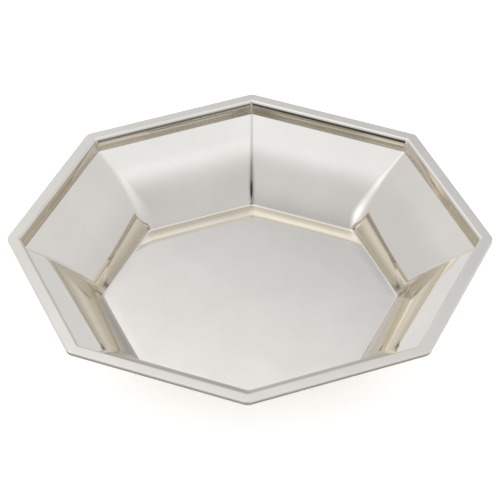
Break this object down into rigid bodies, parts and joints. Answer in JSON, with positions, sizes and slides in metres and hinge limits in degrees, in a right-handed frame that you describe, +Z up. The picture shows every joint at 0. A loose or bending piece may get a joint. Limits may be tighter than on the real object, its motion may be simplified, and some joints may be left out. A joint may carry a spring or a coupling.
{
  "type": "octagonal serving dish",
  "caption": "Open eight-sided metal serving dish with a flat floor, curved mitred wall panels and a stepped rim with a flat band.",
  "frame": {"origin": "centre of the floor plate's underside, on the surface that the dish stands on", "axes": "+Z up out of the dish; two opposite corners of the rim lie on the X axis and two on the Y axis"},
  "size_m": [0.299, 0.299, 0.0491],
  "materials": {
    "floor_nickel": "polished nickel plate, faintly brushed",
    "wall_nickel": "bright polished nickel plate",
    "rim_nickel": "polished nickel plate, lightly brushed on the flat band"
  },
  "bodies": {
    "root": {"floor_plate": "floor_nickel", "wall_1": "wall_nickel", "wall_2": "wall_nickel", "wall_3": "wall_nickel", "wall_4": "wall_nickel", "wall_5": "wall_nickel", "wall_6": "wall_nickel", "wall_7": "wall_nickel", "wall_8": "wall_nickel", "rim_1": "rim_nickel", "rim_2": "rim_nickel", "rim_3": "rim_nickel", "rim_4": "rim_nickel", "rim_5": "rim_nickel", "rim_6": "rim_nickel", "rim_7": "rim_nickel", "rim_8": "rim_nickel"}
  },
  "joints": []
}
